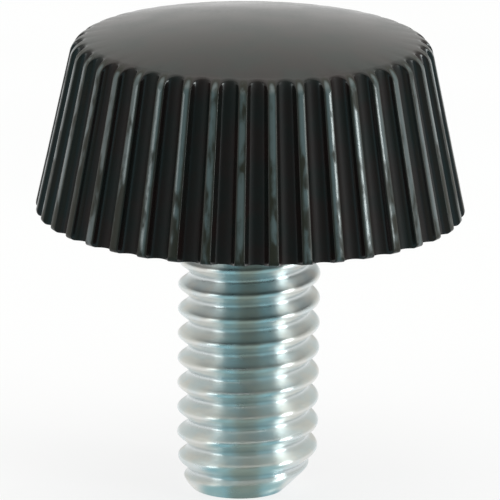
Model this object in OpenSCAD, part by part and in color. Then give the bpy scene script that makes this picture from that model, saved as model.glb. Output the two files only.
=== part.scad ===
// Decorative thumb screw: a fluted plastic head moulded round the hexagon head of an M4 machine screw.
// The screw stands on the flat end of its thread, with its axis on Z and its head up. The origin is the
// centre of the head's under face, so the thread lies below height 0.

/* [Head] */
// Diameter over the flute ridges at the rim, before its rounding
head_d = 11.8; // [11:0.1:18]
// Height from the under face to the top of the crown
head_h = 5.3; // [4.9:0.1:9]
// Angle between the side and the axis, in degrees
side_taper = 12; // [4:0.2:14]
// Rise of the crowned top over a flat one
crown_h = 0.5; // [0.05:0.05:0.7]
// Rounding between the side and the top
edge_r = 0.6; // [0.4:0.05:1.6]
// Rounding at the rim, between the side and the under face
rim_r = 0.15; // [0.05:0.05:0.4]

/* [Flutes] */
// Number of flutes round the side
flute_count = 40; // [24:1:46]
// Radius of a flute at the rim, which is also its depth there
flute_r = 0.32; // [0.2:0.02:0.4]

/* [Screw] */
// Nominal thread diameter
thread_d = 4; // [3:0.5:5]
// Distance between neighbouring turns
thread_pitch = 0.7; // [0.5:0.05:1]
// How far the crest lies inside the nominal diameter, on the radius
crest_play = 0.05; // [0.01:0.01:0.08]
// Depth below the under face at which a crest crosses the front
crest_at = 0.48; // [0.2:0.02:0.7]
// Length of the screw below the head
screw_l = 7.8; // [5:0.1:20]
// Plain neck below the head, before the thread begins
neck_l = 0.7; // [0.5:0.1:1.5]
// Bevel at the end of the thread, at 45 degrees
end_bevel = 0.3; // [0.2:0.05:0.7]
// How far the crests have tapered in where the bevel begins, on the radius
lead_in = 0.2; // [0.05:0.05:0.3]
// Length over which the crests taper in before the bevel
lead_l = 0.7; // [0.4:0.1:1.5]
// Plastic between the flutes and the corners of the hidden hexagon head
hex_wall = 0.9; // [0.6:0.05:1.5]
// Height of the hidden hexagon head
hex_h = 2.8; // [2:0.1:3]
// Plastic between the under face and the hidden hexagon head
hex_cover = 1.1; // [0.6:0.1:1.4]

/* [Hidden] */
$fn = 96;

// Room by which a cutter runs past the face that it cuts
past = 1;
// How much larger a rounding's circle is drawn, so that it crosses its two sides and leaves no sliver
hair = 0.0005;

// Head section: the side leans in from the rim, and a large arc centred on the axis crowns the top
head_r = head_d / 2;
side_sin = sin(side_taper);
side_cos = cos(side_taper);
side_tan = tan(side_taper);
flat_r = head_r - head_h * side_tan;
crown_r = (flat_r * flat_r + crown_h * crown_h) / (2 * crown_h);
crown_z = head_h - crown_r;

// Edge rounding: its centre is edge_r inside the side line and edge_r inside the crown's arc
edge_line_r = head_r - edge_r / side_cos;
edge_b = edge_line_r * side_tan + crown_z;
edge_c = edge_line_r * edge_line_r + crown_z * crown_z - (crown_r - edge_r) * (crown_r - edge_r);
edge_z = (edge_b + sqrt(edge_b * edge_b - edge_c / (side_cos * side_cos))) * side_cos * side_cos;
edge_x = edge_line_r - edge_z * side_tan;
edge_centre = [edge_x, edge_z];
side_normal = [side_cos, side_sin];
crown_normal = [edge_x, edge_z - crown_z] / (crown_r - edge_r);

// Hidden hexagon: its upper corners are the ones that come closest to the flutes
hex_top = hex_cover + hex_h;
hex_corner_r = (head_r - hex_top * side_tan) * (1 - flute_r / head_r) - hex_wall;

// Rim rounding: its centre is rim_r above the under face and rim_r inside the side line
rim_centre = [head_r - rim_r * side_tan - rim_r / side_cos, rim_r];

// Thread section over one pitch, as shares of the pitch and radii: the two ends of a crest and of a root
flank_half_angle = 30;
crest_share = 0.18;
root_share = 0.25;
thread_depth = (0.5 - crest_share / 2 - root_share / 2) * thread_pitch / tan(flank_half_angle);
crest_r = thread_d / 2 - crest_play;
root_r = crest_r - thread_depth;
thread_section = [
    [-crest_share / 2, crest_r],
    [crest_share / 2, crest_r],
    [0.5 - root_share / 2, root_r],
    [0.5 + root_share / 2, root_r],
];
thread_sides = 24;
thread_rows = len(thread_section);
thread_from = crest_at - ceil((crest_at + thread_pitch - neck_l) / thread_pitch) * thread_pitch;
thread_steps = ceil((screw_l - thread_from) / thread_pitch * thread_sides);
lead_r = crest_r - lead_in;
end_r = lead_r - end_bevel;

// What a rounding of radius r round centre c takes off a corner whose two sides face n1 and n2
module corner_waste(c, r, n1, n2) {
    corner = c + (n1 + n2) * r / (1 + n1 * n2);
    away = (corner - c) / norm(corner - c) * r / 2;
    difference() {
        polygon([c, c + n1 * r, c + n1 * r + away, corner + away, c + n2 * r + away, c + n2 * r]);
        translate(c) circle(r + hair);
    }
}

module head_section() {
    difference() {
        intersection() {
            polygon([
                [0, 0],
                [head_r, 0],
                [flat_r - past * side_tan, head_h + past],
                [0, head_h + past],
            ]);
            translate([0, crown_z]) circle(crown_r);
        }
        corner_waste(edge_centre, edge_r, side_normal, crown_normal);
        corner_waste(rim_centre, rim_r, side_normal, [0, -1]);
    }
}

// One flute: a cone along the side that narrows at the same rate as the head
module flute() {
    run = (head_h + past) / side_cos;
    translate([head_r, 0, 0])
        rotate([0, -side_taper, 0])
            translate([0, 0, -past])
                cylinder(
                    h = past + run,
                    r1 = flute_r * (head_r + past * side_sin) / head_r,
                    r2 = flute_r * (head_r - run * side_sin) / head_r
                );
}

// Hexagon head and plain neck, which the plastic is moulded round
module screw_blank() {
    translate([0, 0, hex_cover])
        cylinder(h = hex_h, r = hex_corner_r, $fn = 6);
    translate([0, 0, -neck_l])
        cylinder(h = neck_l + hex_cover, d = thread_d);
}

// Point m of the section that stands k steps along the helix, which turns right-handed on its way down
function thread_point(k, m) =
    let (row = thread_section[m])
    let (turn = k / thread_sides)
    let (angle = -90 - 360 * turn)
    [row[1] * cos(angle), row[1] * sin(angle), -thread_from - thread_pitch * (turn + row[0])];

// The last row of a section is the first row of the section one turn later
function thread_index(k, m) =
    m < thread_rows ? k * thread_rows + m : (k + thread_sides) * thread_rows;

// Helical rod, longer than the thread at both ends, which close in fans to a point on the axis
module thread_rod() {
    last = thread_steps;
    points = [
        for (k = [0 : last + thread_sides]) for (m = [0 : thread_rows - 1]) thread_point(k, m),
        [0, 0, -thread_from - thread_pitch / 2],
        [0, 0, -thread_from - thread_pitch * (last / thread_sides + 0.5)],
    ];
    top = len(points) - 2;
    bottom = len(points) - 1;
    wall = [
        for (k = [0 : last - 1]) for (m = [0 : thread_rows - 1])
            let (a = thread_index(k, m))
            let (b = thread_index(k + 1, m))
            let (c = thread_index(k + 1, m + 1))
            let (d = thread_index(k, m + 1))
            each [[a, c, b], [a, d, c]]
    ];
    turns = [
        for (k = [0 : thread_sides - 1])
            each [
                [top, thread_index(k, 0), thread_index(k + 1, 0)],
                [bottom, thread_index(last + k + 1, 0), thread_index(last + k, 0)],
            ]
    ];
    steps = [
        for (m = [0 : thread_rows - 1])
            each [
                [top, thread_index(0, m + 1), thread_index(0, m)],
                [bottom, thread_index(last, m), thread_index(last, m + 1)],
            ]
    ];
    polyhedron(points, concat(wall, turns, steps));
}

// Envelope of the thread's end: flat, with a bevel, a slow taper and room for the full thread above
module thread_envelope() {
    taper = lead_in / lead_l;
    lead_z = end_bevel - screw_l;
    rotate_extrude()
        polygon([
            [0, -screw_l],
            [end_r, -screw_l],
            [lead_r, lead_z],
            [lead_r + taper * (hex_cover - lead_z), hex_cover],
            [0, hex_cover],
        ]);
}

module fluted_head() {
    color("#1c1e1f")
        difference() {
            rotate_extrude() head_section();
            for (i = [0 : flute_count - 1])
                rotate([0, 0, -90 + i * 360 / flute_count]) flute();
            screw_blank();
        }
}

module threaded_screw() {
    color("#b4bcbd") {
        screw_blank();
        intersection() {
            thread_rod();
            thread_envelope();
        }
    }
}

fluted_head();
threaded_screw();
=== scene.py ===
"""Looks of the thumb screw: a black fluted plastic head moulded on a zinc-plated machine screw.

Lengths in the classes are in mm and angles in degrees, unless a field says otherwise. The screw's axis is
Z, the centre of the head's under face is the origin, and the front is -Y.
"""

import logging
import math
from dataclasses import dataclass
from enum import Enum
from typing import Any

import bpy
import numpy as np
from mathutils import Matrix, Vector


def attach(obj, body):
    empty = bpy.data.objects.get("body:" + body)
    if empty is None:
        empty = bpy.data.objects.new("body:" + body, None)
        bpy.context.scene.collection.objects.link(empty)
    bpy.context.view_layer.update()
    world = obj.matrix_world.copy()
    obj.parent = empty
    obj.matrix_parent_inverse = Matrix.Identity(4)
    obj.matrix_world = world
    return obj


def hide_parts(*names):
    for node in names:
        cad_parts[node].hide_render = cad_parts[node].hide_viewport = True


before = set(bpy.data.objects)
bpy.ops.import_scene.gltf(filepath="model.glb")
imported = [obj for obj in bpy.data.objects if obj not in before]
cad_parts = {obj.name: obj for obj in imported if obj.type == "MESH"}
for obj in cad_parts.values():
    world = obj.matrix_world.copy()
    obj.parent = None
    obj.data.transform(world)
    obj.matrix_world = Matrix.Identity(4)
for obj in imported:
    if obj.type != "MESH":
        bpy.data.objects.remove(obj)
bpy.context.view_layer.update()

Colour = tuple[float, float, float]
Span = tuple[float, float]

MM = 0.001
ROOT_BODY = "root"
LOG = logging.getLogger("thumb_screw")
WHITE: Colour = (1.0, 1.0, 1.0)
FULL: Span = (0.0, 1.0)


class Piece(Enum):
    """The screw's two pieces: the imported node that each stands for, and its material slot."""

    HEAD = ("fluted_head", "head_plastic")
    SCREW = ("threaded_screw", "screw_steel")

    @property
    def node(self) -> str:
        """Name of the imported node."""
        return self.value[0]

    @property
    def slot(self) -> str:
        """Name of the record's material slot."""
        return self.value[1]


class Mark(Enum):
    """Values kept on a mesh's points, which the finishes read."""

    FLUTING = "fluting"
    ROOT = "root"


class Side(Enum):
    """Sides of the camera on which a softbox stands."""

    LEFT = -1
    RIGHT = 1


@dataclass(frozen=True)
class ClosedSkin:
    """A closed surface made of rings round the axis, with a point on the axis at each end.

    Attributes:
        rings: Points shaped (rows, columns, 3), from the top row on, columns anticlockwise from above.
        first_pole: Height of the point that closes the first row.
        last_pole: Height of the point that closes the last row.
        mark: Which value the points carry.
        amounts: That value for each point, shaped (rows, columns), from 0 to 1.
    """

    rings: np.ndarray
    first_pole: float
    last_pole: float
    mark: Mark
    amounts: np.ndarray

    def mesh(self, name: str) -> bpy.types.Mesh:
        """Join each row to the next with quads, and the end rows to their poles with fans.

        Args:
            name: Name of the new mesh.

        Returns:
            The mesh, in metres, smooth and facing outwards.
        """
        rows, columns, _ = self.rings.shape
        count = rows * columns
        poles = np.array([[0.0, 0.0, self.first_pole], [0.0, 0.0, self.last_pole]])
        points = np.vstack([self.rings.reshape(-1, 3), poles]) * MM
        here = np.arange(count).reshape(rows, columns)
        beside = np.roll(here, -1, axis=1)
        quads = np.stack([here[:-1], here[1:], beside[1:], beside[:-1]], axis=-1).reshape(-1, 4)
        first = np.stack([np.full(columns, count), here[0], beside[0]], axis=-1)
        last = np.stack([np.full(columns, count + 1), beside[-1], here[-1]], axis=-1)
        fans = np.vstack([first, last])
        corners = np.concatenate([quads.ravel(), fans.ravel()]).astype(np.int32)
        starts = np.concatenate([4 * np.arange(len(quads)), quads.size + 3 * np.arange(len(fans))])
        mesh = bpy.data.meshes.new(name)
        mesh.vertices.add(len(points))
        mesh.vertices.foreach_set("co", points.astype(np.float32).ravel())
        mesh.loops.add(len(corners))
        mesh.loops.foreach_set("vertex_index", corners)
        mesh.polygons.add(len(starts))
        mesh.polygons.foreach_set("loop_start", starts.astype(np.int32))
        mesh.polygons.foreach_set("use_smooth", np.ones(len(starts), dtype=bool))
        mesh.update(calc_edges=True)
        mesh.validate()
        ends = self.amounts[[0, -1], 0]
        kept = mesh.attributes.new(self.mark.value, "FLOAT", "POINT")
        kept.data.foreach_set("value", np.concatenate([self.amounts.ravel(), ends]).astype(np.float32))
        return mesh


def ring_points(angles: np.ndarray, radii: np.ndarray, heights: np.ndarray) -> np.ndarray:
    """Points at the given radii and heights round the axis.

    Args:
        angles: Polar angle of each column, in radians.
        radii: Distance from the axis, shaped (rows, columns).
        heights: Height of each row.

    Returns:
        Points shaped (rows, columns, 3).
    """
    across = radii * np.cos(angles)
    along = radii * np.sin(angles)
    return np.stack([across, along, np.broadcast_to(heights[:, None], radii.shape)], axis=-1)


def lesser(first: np.ndarray, second: np.ndarray, rounding: float) -> np.ndarray:
    """The lesser of two lengths, rounded where they cross.

    It is half of their sum less the root of their squared difference and the squared rounding, so it
    never lies over either of the two.

    Args:
        first: First length.
        second: Second length.
        rounding: Size of the rounding.

    Returns:
        The rounded lesser length.
    """
    return (first + second - np.sqrt((first - second) ** 2 + rounding**2)) / 2


@dataclass(frozen=True)
class Direction:
    """A way out from the screw.

    Attributes:
        swing: Angle round the axis, from the front, towards +X.
        rise: Angle over the floor.
    """

    swing: float
    rise: float

    def vector(self) -> Vector:
        """Unit vector along the way."""
        swing, rise = math.radians(self.swing), math.radians(self.rise)
        return Vector((math.sin(swing) * math.cos(rise), -math.cos(swing) * math.cos(rise), math.sin(rise)))

    def looking_back(self) -> Matrix:
        """Turn of a lamp or a camera that stands out along the way and looks back at the screw."""
        return self.vector().to_track_quat("Z", "Y").to_matrix().to_4x4()


@dataclass(frozen=True)
class Grain:
    """A noise on a piece's own coordinates.

    Attributes:
        cells: Number of noise cells per mm along X, Y and Z.
        detail: Octaves of finer noise.
    """

    cells: tuple[float, float, float]
    detail: float = 2.0


class NodeDesk:
    """Adds shader nodes to a tree and joins them, with short calls."""

    def __init__(self, tree: bpy.types.NodeTree) -> None:
        """Clear the tree.

        Args:
            tree: Node tree of a material or of the world.
        """
        self.tree = tree
        tree.nodes.clear()

    def add(self, kind: str, settings: dict[str, Any] | None = None, **inputs: Any) -> bpy.types.Node:
        """Add a node, set its options, and set or join its inputs.

        Args:
            kind: Type name of the node, without its "ShaderNode" prefix.
            settings: Options of the node, by attribute name.
            **inputs: Values or output sockets, by input name with _ for a space, or i and its number.

        Returns:
            The new node.
        """
        node = self.tree.nodes.new("ShaderNode" + kind)
        for name, value in (settings or {}).items():
            setattr(node, name, value)
        for name, value in inputs.items():
            numbered = name[0] == "i" and name[1:].isdigit()
            socket = node.inputs[int(name[1:]) if numbered else name.replace("_", " ")]
            if isinstance(value, bpy.types.NodeSocket):
                self.tree.links.new(value, socket)
            else:
                socket.default_value = value
        return node

    def place(self) -> bpy.types.NodeSocket:
        """The piece's own coordinates."""
        return self.add("TexCoord").outputs["Object"]

    def mark(self, mark: Mark) -> bpy.types.NodeSocket:
        """A value kept on the mesh's points."""
        return self.add("Attribute", {"attribute_name": mark.value}).outputs["Fac"]

    def math(self, operation: str, first: Any, second: Any) -> bpy.types.NodeSocket:
        """Result of a math node on two values or sockets."""
        return self.add("Math", {"operation": operation}, i0=first, i1=second).outputs[0]

    def product(self, first: bpy.types.NodeSocket, second: bpy.types.NodeSocket) -> bpy.types.NodeSocket:
        """Product of two colours, channel by channel."""
        return self.add("VectorMath", {"operation": "MULTIPLY"}, i0=first, i1=second).outputs[0]

    def ramp(self, value: bpy.types.NodeSocket, span: Span, ends: Span = FULL) -> bpy.types.NodeSocket:
        """Carry a value smoothly from one range to another.

        Args:
            value: Socket that gives the value.
            span: The two values that give the ends; outside them the result stays level.
            ends: The results at those two values.

        Returns:
            Socket of the result.
        """
        node = self.add(
            "MapRange", {"interpolation_type": "SMOOTHSTEP"}, Value=value,
            From_Min=span[0], From_Max=span[1], To_Min=ends[0], To_Max=ends[1],
        )
        return node.outputs[0]

    def blend(self, share: Any, first: Any, second: Any) -> bpy.types.NodeSocket:
        """Mix two colours.

        Args:
            share: Share of the second colour, a number or a socket.
            first: Colour or socket at share 0.
            second: Colour or socket at share 1.

        Returns:
            Socket of the mixed colour.
        """
        node = self.tree.nodes.new("ShaderNodeMix")
        node.data_type = "RGBA"
        plugs = [s for s in node.inputs if s.enabled]
        for plug, value in zip(plugs, (share, first, second)):
            if isinstance(value, bpy.types.NodeSocket):
                self.tree.links.new(value, plug)
            elif isinstance(value, tuple):
                plug.default_value = (*value, 1.0)
            else:
                plug.default_value = value
        return next(s for s in node.outputs if s.enabled)

    def grain(self, grain: Grain) -> bpy.types.NodeSocket:
        """Add a noise.

        Args:
            grain: Its cells and its detail.

        Returns:
            Socket of the noise, about 0.5 on average.
        """
        scale = tuple(n / MM for n in grain.cells)
        scaled = self.add("Mapping", Vector=self.place(), Scale=scale).outputs[0]
        return self.add("TexNoise", Vector=scaled, Scale=1.0, Detail=grain.detail).outputs[0]

    def bump(self, tall: float, height: bpy.types.NodeSocket,
             under: bpy.types.NodeSocket | None = None) -> bpy.types.NodeSocket:
        """Add a bump.

        Args:
            tall: Height of the bump, in mm.
            height: Socket of the height at each place, from 0 to 1.
            under: Socket of the bump that it lies on, if there is one.

        Returns:
            Socket of the bumped normal.
        """
        node = self.add("Bump", Strength=1.0, Distance=tall * MM, Height=height)
        if under is not None:
            self.tree.links.new(under, node.inputs["Normal"])
        return node.outputs[0]

    def heading(self, place: bpy.types.NodeSocket, swing: float) -> bpy.types.NodeSocket:
        """How well a place or a direction heads one way round the axis, seen from above.

        Args:
            place: Socket of the place or the direction.
            swing: The way, in degrees from the front, towards +X.

        Returns:
            Socket of the cosine of the angle between the two.
        """
        way = tuple(Direction(swing, 0.0).vector())
        level = self.add("Mapping", Vector=place, Scale=(1.0, 1.0, 0.0)).outputs[0]
        towards = self.add("VectorMath", {"operation": "NORMALIZE"}, i0=level).outputs[0]
        return self.add("VectorMath", {"operation": "DOT_PRODUCT"}, i0=towards, i1=way).outputs["Value"]


def new_material(name: str) -> tuple[bpy.types.Material, NodeDesk]:
    """Make an empty material.

    Args:
        name: Its name.

    Returns:
        The material, and the desk for its nodes.
    """
    made = bpy.data.materials.new(name)
    made.use_nodes = True
    return made, NodeDesk(made.node_tree)


def new_object(name: str, data: bpy.types.ID) -> bpy.types.Object:
    """Make an object and put it in the scene.

    Args:
        name: Its name.
        data: Its mesh, lamp or camera.

    Returns:
        The object, at the origin.
    """
    made = bpy.data.objects.new(name, data)
    bpy.context.scene.collection.objects.link(made)
    return made


def place_piece(piece: Piece, mesh: bpy.types.Mesh, material: bpy.types.Material) -> bpy.types.Object:
    """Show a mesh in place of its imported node.

    Args:
        piece: Which of the two pieces it is.
        mesh: The piece's mesh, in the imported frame.
        material: Its finish.

    Returns:
        The object, at the origin, riding on the one body.
    """
    mesh.materials.append(material)
    made = new_object(mesh.name, mesh)
    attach(made, ROOT_BODY)
    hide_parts(piece.node)
    return made


@dataclass(frozen=True)
class DimSide:
    """The dim side of the studio, where the camera stands: dark in the middle, bluish towards its edges.

    Attributes:
        middle: Share of the light in the middle.
        edge: Share of the light towards the edges.
        swing: Way to its middle, in degrees from the front, towards +X.
        edge_span: Cosines of the angle from its middle over which it turns from white to the edge's share.
        middle_span: Cosines over which it turns from the edge's share to the middle's.
    """

    middle: Colour
    edge: Colour
    swing: float = -3.0
    edge_span: Span = (0.38, 0.75)
    middle_span: Span = (0.90, 0.985)

    def share(self, desk: NodeDesk, place: bpy.types.NodeSocket) -> bpy.types.NodeSocket:
        """Share of the light at a place or in a direction: white beside and behind the screw.

        Args:
            desk: Tree of the material or the world.
            place: Socket of the place or the direction.

        Returns:
            Socket of the share, as a colour.
        """
        heading = desk.heading(place, self.swing)
        share = desk.blend(desk.ramp(heading, self.edge_span), WHITE, self.edge)
        return desk.blend(desk.ramp(heading, self.middle_span), share, self.middle)


@dataclass(frozen=True)
class BlackPlastic:
    """Satin black moulded plastic: fine tool texture, uneven gloss, and a paler bluish line on each ridge,
    partly worn plastic and partly a painted highlight.

    Attributes:
        body: Main colour, a brownish black.
        bloom: Colour of the greener patches.
        scuffed: Colour of the ridges where they are dull.
        rubbed_and_highlight: Colour along the middle of the ridges where they are worn bright, which also
            serves as a painted highlight there.
        smooth: Roughness of the glossiest patches.
        dull: Roughness of the dullest patches.
        grit: Roughness of the grooves.
        matt: Roughness of the ridges where they are dull.
        polish: Roughness of the ridges where they are worn bright.
        flicker: How far the tool texture moves the roughness to either side.
        clean: Specular level of clean plastic.
        veiled: Specular level of the grooves.
        dusty: Share of the specular level that the ridges lose where they are dull.
        shine: Share of the specular level that the ridges gain where they are worn bright.
        ior: Index of refraction.
        texture: Height of the tool texture.
        ripple: Height of the unevenness along the ridges.
        patches: Noise of the greener and the duller patches.
        tooling: Noise of the tool texture.
        streaks: Noise of the short streaks along the ridges.
        handling: Noise that makes one ridge more worn than the next.
        ridge_span: Fluting marks from the foot of a ridge to its top.
        line_span: Fluting marks from the edge of the paler line to its middle; the line is worn plastic and
            a painted highlight.
        groove_span: Fluting marks from the bottom of a groove to its shoulder.
        wear_and_sheen_span: Sums of the noises and the height's lift between which a ridge turns from dull
            to worn bright, with its painted highlight.
        lift: What the height adds to that sum, at the under face and at the reach; this is painted light,
            which makes the lines on the ridges brighter towards the top.
        reach: Height at which that painted brightening is greatest.
        bloom_span: Noise values between which the body turns greener.
        gloss_span: Noise values between which the roughness changes.
    """

    body: Colour = (0.0160, 0.0098, 0.0092)
    bloom: Colour = (0.0090, 0.0115, 0.0105)
    scuffed: Colour = (0.026, 0.026, 0.018)
    rubbed_and_highlight: Colour = (0.098, 0.130, 0.134)
    smooth: float = 0.15
    dull: float = 0.21
    grit: float = 0.6
    matt: float = 0.42
    polish: float = 0.18
    flicker: float = 0.02
    clean: float = 0.5
    veiled: float = 0.31
    dusty: float = 0.45
    shine: float = 0.8
    ior: float = 1.45
    texture: float = 0.0008
    ripple: float = 0.002
    patches: Grain = Grain((0.9, 0.9, 0.9), 3.0)
    tooling: Grain = Grain((11.0, 11.0, 11.0), 3.0)
    streaks: Grain = Grain((5.0, 5.0, 1.3), 2.0)
    handling: Grain = Grain((1.2, 1.2, 0.2), 1.0)
    ridge_span: Span = (0.84, 1.0)
    line_span: Span = (0.945, 0.999)
    groove_span: Span = (0.1, 0.45)
    wear_and_sheen_span: Span = (0.88, 1.18)
    lift: Span = (-0.06, 0.15)
    reach: float = 5.0
    bloom_span: Span = (0.35, 0.65)
    gloss_span: Span = (0.3, 0.7)

    def material(self) -> bpy.types.Material:
        """Build the material: noises for colour and gloss, fluting marks for the worn ridges and their
        painted highlight line, and two heights of bump.

        Returns:
            The material.
        """
        made, desk = new_material("satin_black_plastic")
        patches = desk.grain(self.patches)
        tooling = desk.grain(self.tooling)
        streaks = desk.grain(self.streaks)
        fluting = desk.mark(Mark.FLUTING)
        ridge = desk.ramp(fluting, self.ridge_span)
        groove = desk.ramp(fluting, self.groove_span, (1.0, 0.0))
        height = desk.add("SeparateXYZ", Vector=desk.place()).outputs["Z"]
        # Painted light: the lines on the ridges are made brighter towards the top, by height.
        lift = desk.ramp(height, (0.0, self.reach * MM), self.lift)
        wear_and_sheen = desk.math("ADD", desk.math("ADD", desk.grain(self.handling), streaks), lift)
        # The paler line keeps to the middle of each ridge; it is worn plastic and a painted highlight.
        line = desk.ramp(fluting, self.line_span)
        wear_and_sheen = desk.math("MULTIPLY", desk.ramp(wear_and_sheen, self.wear_and_sheen_span), line)
        colour = desk.blend(desk.ramp(patches, self.bloom_span), self.body, self.bloom)
        # The ridges take the dull colour, and along their middle the paler bluish one, worn plastic that
        # also paints a highlight.
        colour = desk.blend(ridge, colour, desk.blend(wear_and_sheen, self.scuffed, self.rubbed_and_highlight))
        gloss = desk.ramp(patches, self.gloss_span, (self.smooth, self.dull))
        gloss = desk.math("MAXIMUM", gloss, desk.math("MULTIPLY", groove, self.grit))
        worn = desk.ramp(wear_and_sheen, FULL, (self.matt, self.polish))
        gloss = desk.math("MAXIMUM", gloss, desk.math("MULTIPLY", ridge, worn))
        flicker = desk.ramp(tooling, self.gloss_span, (-self.flicker, self.flicker))
        gloss = desk.math("ADD", gloss, flicker)
        sheen = desk.math("MULTIPLY", ridge, desk.ramp(wear_and_sheen, FULL, (-self.dusty, self.shine)))
        level = desk.ramp(groove, FULL, (self.clean, self.veiled))
        level = desk.math("MULTIPLY", level, desk.math("ADD", sheen, 1.0))
        skin = desk.bump(self.texture, tooling)
        uneven = desk.bump(self.ripple, desk.math("MULTIPLY", streaks, ridge), skin)
        shader = desk.add(
            "BsdfPrincipled", Base_Color=colour, Roughness=gloss, IOR=self.ior, Normal=uneven,
            Specular_IOR_Level=level,
        )
        desk.add("OutputMaterial", Surface=shader.outputs[0])
        return made


@dataclass(frozen=True)
class ZincPlate:
    """Bright zinc plating: a cool grey metal with a faint two-tone bloom, rolling marks and duller flanks.

    Attributes:
        cool: Colour of the bluish patches.
        warm: Colour of the warmer patches.
        root: Colour in the bottom of the thread.
        root_share: Share of that colour in the bottom.
        smooth: Roughness of the crests and roots, which the rolling has burnished.
        dull: Roughness of the flanks.
        flicker: What the bloom adds to the roughness, at its two ends.
        drawn: How far the rolling marks stretch a highlight along the screw, from 0 to 1.
        turn: Turn of that stretch from round the screw to along it, in whole turns.
        marks: Height of the rolling marks.
        pits: Height of the fine plating grain.
        blooming: Noise of the two tones.
        rolling: Noise of the rolling marks.
        plating: Noise of the plating grain.
        root_span: Root marks between which the bottom's colour comes in.
        flank_span: Shares of the way to a flank's middle, out of 0.5, between which it turns dull.
        bloom_span: Noise values between which the colour turns from cool to warm.
        gloss_span: Noise values between which the roughness changes.
    """

    cool: Colour = (0.69, 0.76, 0.77)
    warm: Colour = (0.78, 0.785, 0.75)
    root: Colour = (0.66, 0.705, 0.715)
    root_share: float = 0.85
    smooth: float = 0.29
    dull: float = 0.42
    flicker: Span = (-0.03, 0.04)
    drawn: float = 0.91
    turn: float = 0.25
    marks: float = 0.0022
    pits: float = 0.0012
    blooming: Grain = Grain((1.2, 1.2, 1.6), 3.0)
    rolling: Grain = Grain((0.7, 0.7, 24.0), 3.0)
    plating: Grain = Grain((16.0, 16.0, 16.0), 2.0)
    root_span: Span = (0.55, 1.0)
    flank_span: Span = (0.06, 0.36)
    bloom_span: Span = (0.38, 0.62)
    gloss_span: Span = (0.3, 0.7)

    def material(self) -> bpy.types.Material:
        """Build the material: mottled colour, root marks for dullness, and rolling marks round the screw.

        Returns:
            The material.
        """
        made, desk = new_material("bright_zinc_plate")
        bloom = desk.grain(self.blooming)
        root = desk.mark(Mark.ROOT)
        colour = desk.blend(desk.ramp(bloom, self.bloom_span), self.cool, self.warm)
        bottom = desk.ramp(root, self.root_span, (0.0, self.root_share))
        colour = desk.blend(bottom, colour, self.root)
        # The flank's value is 0 on a crest and in a root, and 0.5 half-way between them.
        flank = desk.math("PINGPONG", root, 0.5)
        gloss = desk.ramp(flank, self.flank_span, (self.smooth, self.dull))
        gloss = desk.math("ADD", gloss, desk.ramp(bloom, self.gloss_span, self.flicker))
        lines = desk.bump(self.marks, desk.grain(self.rolling))
        skin = desk.bump(self.pits, desk.grain(self.plating), lines)
        axis = (0.0, 0.0, 1.0)
        round_axis = desk.add("VectorMath", {"operation": "CROSS_PRODUCT"}, i0=axis, i1=desk.place())
        shader = desk.add(
            "BsdfPrincipled", Base_Color=colour, Metallic=1.0, Roughness=gloss, Normal=skin,
            Anisotropic=self.drawn, Anisotropic_Rotation=self.turn, Tangent=round_axis.outputs["Vector"],
        )
        desk.add("OutputMaterial", Surface=shader.outputs[0])
        return made


@dataclass(frozen=True)
class PalePaper:
    """Matt white paper for the floor, with a faint mottle.

    Attributes:
        sheet: Main colour of what the lamps light.
        mottle: Colour of the faint patches.
        dim: What mirrors see of it on the camera's side.
        glow: White that the camera and mirrors see added to the lit paper, so that it ends white.
        patches: Noise of the mottle.
        mottle_span: Noise values between which the mottle comes in.
    """

    sheet: Colour = (0.24, 0.238, 0.243)
    mottle: Colour = (0.23, 0.228, 0.233)
    dim: DimSide = DimSide((0.30, 0.38, 0.35), (0.35, 0.58, 0.63))
    glow: float = 0.76
    patches: Grain = Grain((0.05, 0.05, 0.05))
    mottle_span: Span = (0.4, 0.6)

    def material(self) -> bpy.types.Material:
        """Build the material: two colours mixed by a broad noise, and what mirrors and the camera see.

        Returns:
            The material.
        """
        made, desk = new_material("pale_paper")
        patches = desk.ramp(desk.grain(self.patches), self.mottle_span)
        colour = desk.blend(patches, self.sheet, self.mottle)
        ray = desk.add("LightPath").outputs
        mirror = desk.math("MAXIMUM", ray["Is Glossy Ray"], ray["Is Transmission Ray"])
        share = desk.blend(mirror, WHITE, self.dim.share(desk, desk.place()))
        lit = desk.add("BsdfDiffuse", Color=desk.product(colour, share)).outputs[0]
        glow = desk.math("MULTIPLY", desk.math("MAXIMUM", mirror, ray["Is Camera Ray"]), self.glow)
        white = desk.add("Emission", Color=share, Strength=glow).outputs[0]
        desk.add("OutputMaterial", Surface=desk.add("AddShader", i0=lit, i1=white).outputs[0])
        return made


@dataclass(frozen=True)
class HexagonHead:
    """The screw's own head, hidden in the plastic: a hexagon with one corner at angle 0.

    Attributes:
        cover: Height of its lower face over the plastic's under face.
        height: Its height.
        corner: Distance from the axis to a corner.
    """

    cover: float = 1.1
    height: float = 2.8
    corner: float = 3.896

    @property
    def top(self) -> float:
        """Height of its upper face."""
        return self.cover + self.height

    def radius(self, angles: np.ndarray) -> np.ndarray:
        """Distance from the axis to its side: half its width over the cosine of the angle to the flat.

        Args:
            angles: Polar angles in radians.

        Returns:
            The distance at each angle.
        """
        sixth = math.pi / 3
        return self.corner * math.cos(sixth / 2) / np.cos(np.mod(angles, sixth) - sixth / 2)


@dataclass(frozen=True)
class HeadRows:
    """Number of points along each stretch of the head's sections, with both ends counted.

    Attributes:
        groove: Half of a groove.
        corner: Corner of a ridge.
        land: Half of a ridge's top.
        crown: Crowned top, from the axis.
        edge: Rounding between the top and the side.
        wall: Side.
        rim: Rounding at the rim.
        under: Under face.
        crowding: Power that crowds the under face's rows towards the rim.
    """

    groove: int = 8
    corner: int = 6
    land: int = 5
    crown: int = 13
    edge: int = 31
    wall: int = 11
    rim: int = 7
    under: int = 9
    crowding: float = 1.6


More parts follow.
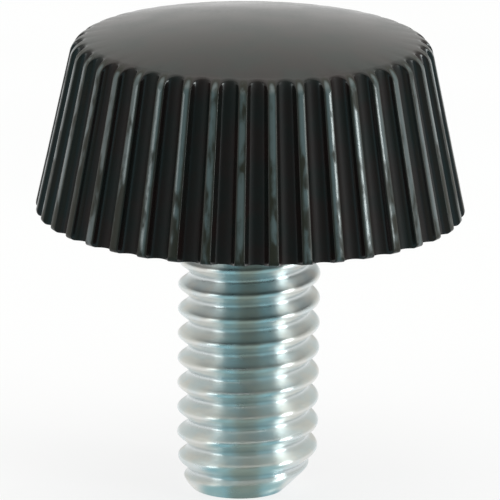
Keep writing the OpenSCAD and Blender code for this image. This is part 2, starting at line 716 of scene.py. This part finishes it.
@dataclass
class FlutedHead:
    """The plastic head: a crowned, tapered knob with round flutes, hollow where the screw's own head is.

    Attributes:
        neck: Radius of the hole for the screw's neck.
        hexagon: The hollow for the screw's own head.
        diameter: Diameter over the ridges at the rim, before its rounding.
        height: Height of the crown over the under face.
        taper: Angle between the side and the axis.
        crown: Rise of the crowned top.
        edge: Rounding between the side and the top.
        rim: Rounding between the side and the under face.
        flutes: Number of flutes.
        flute: Radius of a flute at the rim.
        corner: Rounding of the ridge corners at the rim.
        land: Radius of a ridge's crowned top at the rim.
        blend_power: How tightly the flutes run out into the top; a larger number is sharper.
        ridge_fade: Offset from the side line over which a ridge's mark fades out at the top.
        groove_fade: The same for a groove's mark.
        brink: Width of the last row before the neck's hole, which keeps the under face's shading flat.
        rows: Number of points along the sections.
        finish: The plastic.
    """

    neck: float
    hexagon: HexagonHead
    diameter: float = 11.8
    height: float = 5.3
    taper: float = 12.0
    crown: float = 0.5
    edge: float = 0.6
    rim: float = 0.15
    flutes: int = 40
    flute: float = 0.32
    corner: float = 0.045
    land: float = 0.42
    blend_power: float = 5.0
    ridge_fade: float = 0.6
    groove_fade: float = 0.25
    brink: float = 0.02
    rows: HeadRows = HeadRows()
    finish: BlackPlastic = BlackPlastic()

    @property
    def radius(self) -> float:
        """Radius over the ridges at the rim."""
        return self.diameter / 2

    @property
    def lean(self) -> float:
        """Taper in radians."""
        return math.radians(self.taper)

    def flute_columns(self) -> tuple[np.ndarray, np.ndarray, np.ndarray]:
        """Section of all the flutes at the rim, seen along the axis.

        One half of a flute runs from the bottom of a round groove, a circle centred on the head's own
        circle, through a rounded corner, to the middle of a crowned land, a circle that touches the head's
        own circle there. The corner touches the groove from outside and the land from inside. The half is
        mirrored and repeated round the head, with a groove at the front.

        Returns:
            Polar angle of each column in radians, its depth below the ridges, and its fluting mark,
            which is 1 on a ridge and -1 in the bottom of a groove.
        """
        big, groove, corner = self.radius, self.flute, self.corner
        middle = math.pi / self.flutes
        land = (big - self.land) * np.array([math.cos(middle), math.sin(middle)])
        apart = land - np.array([big, 0.0])
        span = math.hypot(*apart)
        near, far = groove + corner, self.land - corner
        along = (span**2 + near**2 - far**2) / (2 * span)
        aside = math.sqrt(near**2 - along**2)
        centre = np.array([big, 0.0]) + (along * apart + aside * np.array([apart[1], -apart[0]])) / span
        swing = np.linspace(0.0, math.atan2(centre[1], big - centre[0]), self.rows.groove)
        in_groove = np.stack([big - groove * np.cos(swing), groove * np.sin(swing)])
        lands_at = math.atan2(*(centre - land)[::-1])
        swing = np.linspace(math.atan2(-centre[1], big - centre[0]), lands_at, self.rows.corner)[1:]
        on_corner = centre[:, None] + corner * np.stack([np.cos(swing), np.sin(swing)])
        swing = np.linspace(lands_at, middle, self.rows.land)[1:]
        on_land = land[:, None] + self.land * np.stack([np.cos(swing), np.sin(swing)])
        half = np.hstack([in_groove, on_corner, on_land])
        angle = np.arctan2(half[1], half[0])
        depth = big - np.hypot(half[0], half[1])
        mark = 1.0 - 2.0 * depth / groove
        spread = np.concatenate([-angle[:0:-1], angle[:-1]])
        deep = np.concatenate([depth[:0:-1], depth[:-1]])
        marked = np.concatenate([mark[:0:-1], mark[:-1]])
        turns = -math.pi / 2 + 2 * math.pi * np.arange(self.flutes) / self.flutes
        angles = (turns[:, None] + spread).ravel()
        return angles, np.tile(deep, self.flutes), np.tile(marked, self.flutes)

    def outer_profile(self) -> np.ndarray:
        """Half section of the head's outside, from the crown to the brink of the neck's hole.

        The crown is an arc centred on the axis. The edge's arc touches the crown's arc from inside and
        the leaning side, and the rim's arc touches the side and the flat under face.

        Returns:
            Radius and height of each row, shaped (rows, 2).
        """
        tan, cos = math.tan(self.lean), math.cos(self.lean)
        flat = self.radius - self.height * tan
        crown_r = (flat**2 + self.crown**2) / (2 * self.crown)
        crown_z = self.height - crown_r
        line = self.radius - self.edge / cos
        half_b = line * tan + crown_z
        rest = line**2 + crown_z**2 - (crown_r - self.edge) ** 2
        edge_z = (half_b + math.sqrt(half_b**2 - rest / cos**2)) * cos**2
        edge_x = line - edge_z * tan
        rim_x = self.radius - self.rim * tan - self.rim / cos
        meet = math.atan2(edge_x, edge_z - crown_z)
        side = math.pi / 2 - self.lean

        def arc(x: float, z: float, r: float, angles: np.ndarray) -> np.ndarray:
            """Points on a circle, at angles measured from straight up."""
            return np.stack([x + r * np.sin(angles), z + r * np.cos(angles)], axis=-1)

        crown = arc(0.0, crown_z, crown_r, np.linspace(0.0, meet, self.rows.crown)[1:-1])
        edge = arc(edge_x, edge_z, self.edge, np.linspace(meet, side, self.rows.edge))
        rim = arc(rim_x, self.rim, self.rim, np.linspace(side, math.pi, self.rows.rim))
        wall = edge[-1] + np.linspace(0.0, 1.0, self.rows.wall)[1:-1, None] * (rim[0] - edge[-1])
        inwards = np.linspace(0.0, 1.0, self.rows.under)[1:] ** self.rows.crowding
        inwards = rim_x - inwards * (rim_x - self.neck - self.brink)
        under = np.stack([inwards, np.zeros_like(inwards)], axis=-1)
        return np.vstack([crown, edge, wall, rim, under])

    def skin(self) -> ClosedSkin:
        """Surface of the head.

        On the outside, a point lies inside the leaning side line by the flute's depth where the profile
        is straight, by the profile's own offset on the ridges, and by the root of the sum of their powers
        between, which rounds the flutes' ends. Depths shrink with the side line's radius. The fluting mark
        fades from 1 or 0 to a plain 0.5 with the square of the offset. Inside, the neck's hole and the
        hexagon's hollow close the surface.

        Returns:
            The closed surface, with its fluting marks.
        """
        angles, deep, marked = self.flute_columns()
        profile = self.outer_profile()
        side_line = self.radius - profile[:, 1:] * math.tan(self.lean)
        depth = deep / math.cos(self.lean) * side_line / self.radius
        offset = side_line - profile[:, :1]
        power = self.blend_power
        outside = side_line - (depth**power + np.maximum(offset, 0.0) ** power) ** (1 / power)
        fade = np.where(marked > 0.0, self.ridge_fade, self.groove_fade)
        fluting = (1.0 + marked * np.exp(-((offset / fade) ** 2))) / 2

        cover, top = self.hexagon.cover, self.hexagon.top
        hexagon = self.hexagon.radius(angles)
        neck = np.full_like(hexagon, self.neck)
        inside = np.vstack([neck, neck, hexagon, hexagon, hexagon / 2])
        inside_z = np.array([0.0, cover, cover, top, top])
        radii = np.vstack([outside, inside])
        heights = np.concatenate([profile[:, 1], inside_z])
        marks = np.vstack([fluting, np.full_like(inside, 0.5)])
        return ClosedSkin(ring_points(angles, radii, heights), self.height, top, Mark.FLUTING, marks)

    def build(self) -> bpy.types.Object:
        """Build the head, dress it and put it in place of its node."""
        return place_piece(Piece.HEAD, self.skin().mesh("moulded_head"), self.finish.material())


@dataclass
class ThreadedScrew:
    """The steel screw: a hidden hexagon head, a plain neck and a right-hand thread with a bevelled end.

    Attributes:
        diameter: Nominal thread diameter, and that of the neck.
        pitch: Distance between neighbouring turns.
        play: How far the crests lie inside the nominal radius.
        crest_at: Depth below the under face at which a crest crosses the front.
        length: Length below the head.
        neck: Length of the plain neck below the head.
        bevel: Bevel at the end, at 45 degrees.
        lead_in: How far the crests have tapered in where the bevel begins.
        lead: Length over which they taper in.
        end_rounding: Rounding of the edges between thread, taper and bevel.
        depth: Depth of the thread, from crest to root.
        skew: How much deeper the bevel is on the +X side than on the other.
        hexagon: The head hidden in the plastic.
        columns: Number of points round the screw.
        rows_per_turn: Number of rows along one pitch.
        end_rows: Radii of the rows on the flat end, as shares of the end's own radius.
        finish: The plating.
    """

    diameter: float = 4.0
    pitch: float = 0.7
    play: float = 0.05
    crest_at: float = 0.48
    length: float = 7.8
    neck: float = 0.7
    bevel: float = 0.2
    lead_in: float = 0.2
    lead: float = 0.7
    end_rounding: float = 0.12
    depth: float = 0.3
    skew: float = 0.5
    hexagon: HexagonHead = HexagonHead()
    columns: int = 144
    rows_per_turn: int = 32
    end_rows: tuple[float, ...] = (0.97, 0.66, 0.33)
    finish: ZincPlate = ZincPlate()

    def section(self, phase: np.ndarray) -> np.ndarray:
        """Depth of the thread below its crest: half its depth times one less the cosine of the phase.

        Args:
            phase: Distance from a crest, in pitches.

        Returns:
            Depth at each distance.
        """
        return self.depth * (1 - np.cos(2 * math.pi * phase)) / 2

    def thread(self, angles: np.ndarray, depths: np.ndarray) -> tuple[np.ndarray, np.ndarray]:
        """Radius of the thread and its root mark.

        A crest falls by one pitch for each turn clockwise, seen from above. Near the end a slow taper and
        a bevel at 45 degrees trim the crests, and at the neck a cone at 45 degrees fills the thread. The
        bevel's depth follows one plus the cosine of the polar angle, so it is deepest on the +X side.

        Args:
            angles: Polar angle of each column, in radians.
            depths: Depth of each row below the under face.

        Returns:
            Radius and root mark, both shaped (rows, columns).
        """
        turn = (-math.pi / 2 - angles) / (2 * math.pi)
        phase = (depths[:, None] - self.crest_at) / self.pitch - turn
        cut = self.section(phase)
        crest = self.diameter / 2 - self.play
        left = self.length - depths[:, None]
        bevel = crest - self.lead_in - self.bevel + left - self.skew * (1 + np.cos(angles)) / 2
        taper = crest - self.lead_in + (left - self.bevel) * self.lead_in / self.lead
        trimmed = lesser(lesser(crest - cut, taper, self.end_rounding / 2), bevel, self.end_rounding)
        shoulder = self.diameter / 2 - (depths[:, None] - self.neck)
        radius = np.maximum(trimmed, np.minimum(shoulder, self.diameter / 2))
        return radius, np.clip(cut / self.depth, 0.0, 1.0)

    def skin(self) -> ClosedSkin:
        """Surface of the screw: the hexagon, the neck, the thread as a height field, and the flat end.

        Returns:
            The closed surface, with its root marks.
        """
        angles = -math.pi / 2 + 2 * math.pi * np.arange(self.columns) / self.columns
        count = round((self.length - self.neck) / self.pitch * self.rows_per_turn)
        depths = np.linspace(self.neck, self.length, count + 1)
        threaded, root = self.thread(angles, depths)
        cover, top = self.hexagon.cover, self.hexagon.top
        hexagon = self.hexagon.radius(angles)
        plain = np.full_like(hexagon, self.diameter / 2)
        upper = np.vstack([hexagon / 2, hexagon, hexagon, plain, plain])
        upper_z = np.array([top, top, cover, cover, 0.0])
        end = np.array(self.end_rows)[:, None] * threaded[-1]
        radii = np.vstack([upper, threaded, end])
        heights = np.concatenate([upper_z, -depths, np.full(len(end), -self.length)])
        marks = np.vstack([np.zeros_like(upper), root, np.zeros_like(end)])
        return ClosedSkin(ring_points(angles, radii, heights), top, -self.length, Mark.ROOT, marks)

    def build(self) -> bpy.types.Object:
        """Build the screw, dress it and put it in place of its node."""
        return place_piece(Piece.SCREW, self.skin().mesh("zinc_screw"), self.finish.material())


@dataclass(frozen=True)
class Softbox:
    """A soft lamp that faces the screw.

    Attributes:
        side: Side of the camera on which it stands.
        swing: Angle from the front, round the axis.
        rise: Angle over the floor.
        width: Width of its face, in metres.
        tall: Height of its face, in metres.
        radiance: Brightness of its face; 1 is white.
        away: Distance from the screw, in metres.
        tint: Colour of its light.
    """

    side: Side
    swing: float
    rise: float
    width: float
    tall: float
    radiance: float
    away: float = 0.6
    tint: Colour = (0.91, 1.0, 1.0)

    def build(self) -> bpy.types.Object:
        """Make the lamp; its power is radiance times pi times its area.

        Returns:
            The lamp's object.
        """
        lamp = bpy.data.lights.new(f"softbox_{self.side.name.lower()}", "AREA")
        lamp.shape = "RECTANGLE"
        lamp.size, lamp.size_y = self.width, self.tall
        lamp.energy = self.radiance * math.pi * self.width * self.tall
        lamp.color = self.tint
        made = new_object(lamp.name, lamp)
        way = Direction(self.side.value * self.swing, self.rise)
        made.matrix_world = Matrix.Translation(way.vector() * self.away) @ way.looking_back()
        return made


@dataclass
class Studio:
    """White paper floor, pale surroundings with a dim camera side, two softboxes and the camera.

    Attributes:
        floor_z: Height of the floor.
        floor_side: Side of the square floor, in metres.
        paper: Finish of the floor.
        horizon: Colour of the surroundings behind and beside the screw, near the floor.
        upper: Their colour higher up.
        zenith: Their colour overhead.
        upper_span: Heights, as sines, between which the horizon turns into the upper colour.
        zenith_span: Heights, as sines, between which that turns into the zenith.
        dim: What the camera's side keeps of their light.
        dim_span: Heights, as sines, between which that dimming ends.
        softboxes: The lamps.
        swing: Camera's angle round the axis, from the front, towards +X.
        rise: Camera's angle over the floor.
        distance: Camera's distance from what it aims at.
        wide: Width of what the camera sees at that distance.
        aim: Point that the middle of the picture shows.
        roll: How far the camera leans anticlockwise.
        near: Distance from the camera at which its view begins.
    """

    floor_z: float
    floor_side: float = 2.0
    paper: PalePaper = PalePaper()
    horizon: Colour = (0.78, 0.78, 0.765)
    upper: Colour = (0.63, 0.645, 0.61)
    zenith: Colour = (1.30, 1.30, 1.24)
    upper_span: Span = (0.0, 0.5)
    zenith_span: Span = (0.58, 0.82)
    dim: DimSide = DimSide((0.17, 0.21, 0.19), (0.31, 0.49, 0.54))
    dim_span: Span = (0.45, 0.8)
    softboxes: tuple[Softbox, ...] = (
        Softbox(Side.LEFT, 63.0, 9.0, 0.20, 0.17, 2.4),
        Softbox(Side.RIGHT, 62.0, 9.5, 0.18, 0.19, 10.4),
    )
    swing: float = -1.9
    rise: float = 15.07
    distance: float = 200.0
    wide: float = 13.681
    aim: tuple[float, float, float] = (0.010, 0.0, -1.09)
    roll: float = 0.68
    near: float = 10.0

    def floor(self) -> bpy.types.Object:
        """Lay a square sheet under the screw; a grid of two by two points.

        Returns:
            The floor's object.
        """
        half = self.floor_side / 2
        u, v = np.meshgrid([-half, half], [-half, half])
        points = np.stack([u, v, np.full_like(u, self.floor_z * MM)], axis=-1).reshape(-1, 3)
        mesh = bpy.data.meshes.new("paper_floor")
        mesh.from_pydata(points.tolist(), [], [(0, 1, 3, 2)])
        mesh.materials.append(self.paper.material())
        made = new_object(mesh.name, mesh)
        return made

    def surroundings(self) -> None:
        """Light from all round: pale behind and beside, dim on the camera's side, white to the camera."""
        world = bpy.data.worlds.new("pale_room")
        bpy.context.scene.world = world
        world.use_nodes = True
        desk = NodeDesk(world.node_tree)
        towards = desk.add("TexCoord").outputs["Generated"]
        height = desk.add("SeparateXYZ", Vector=towards).outputs["Z"]
        room = desk.blend(desk.ramp(height, self.upper_span), self.horizon, self.upper)
        room = desk.blend(desk.ramp(height, self.zenith_span), room, self.zenith)
        share = desk.blend(desk.ramp(height, self.dim_span), self.dim.share(desk, towards), WHITE)
        seen = desk.add("LightPath").outputs["Is Camera Ray"]
        colour = desk.blend(seen, desk.product(room, share), WHITE)
        light = desk.add("Background", Color=colour, Strength=1.0)
        desk.add("OutputWorld", Surface=light.outputs[0])

    def camera(self) -> bpy.types.Object:
        """Stand the camera where the photograph was taken from.

        Returns:
            The camera's object.
        """
        lens = bpy.data.cameras.new("camera")
        lens.sensor_fit = "HORIZONTAL"
        lens.lens = lens.sensor_width * self.distance / self.wide
        lens.clip_start = self.near * MM
        made = new_object("camera", lens)
        way = Direction(self.swing, self.rise)
        place = (Vector(self.aim) + way.vector() * self.distance) * MM
        lean = Matrix.Rotation(math.radians(self.roll), 4, "Z")
        made.matrix_world = Matrix.Translation(place) @ way.looking_back() @ lean
        bpy.context.scene.camera = made
        return made

    def build(self) -> None:
        """Lay the floor, light it and stand the camera."""
        bpy.context.scene.view_settings.view_transform = "Standard"
        self.floor()
        self.surroundings()
        for softbox in self.softboxes:
            softbox.build()
        self.camera()


def main() -> None:
    """Build the studio and the two pieces."""
    logging.basicConfig(level=logging.INFO, format="%(name)s: %(message)s")
    screw = ThreadedScrew()
    head = FlutedHead(neck=screw.diameter / 2, hexagon=screw.hexagon)
    Studio(floor_z=-screw.length).build()
    for part in (screw, head):
        made = part.build()
        made.data.calc_loop_triangles()
        LOG.info("%s: %d triangles", made.name, len(made.data.loop_triangles))


if __name__ == "__main__":
    main()
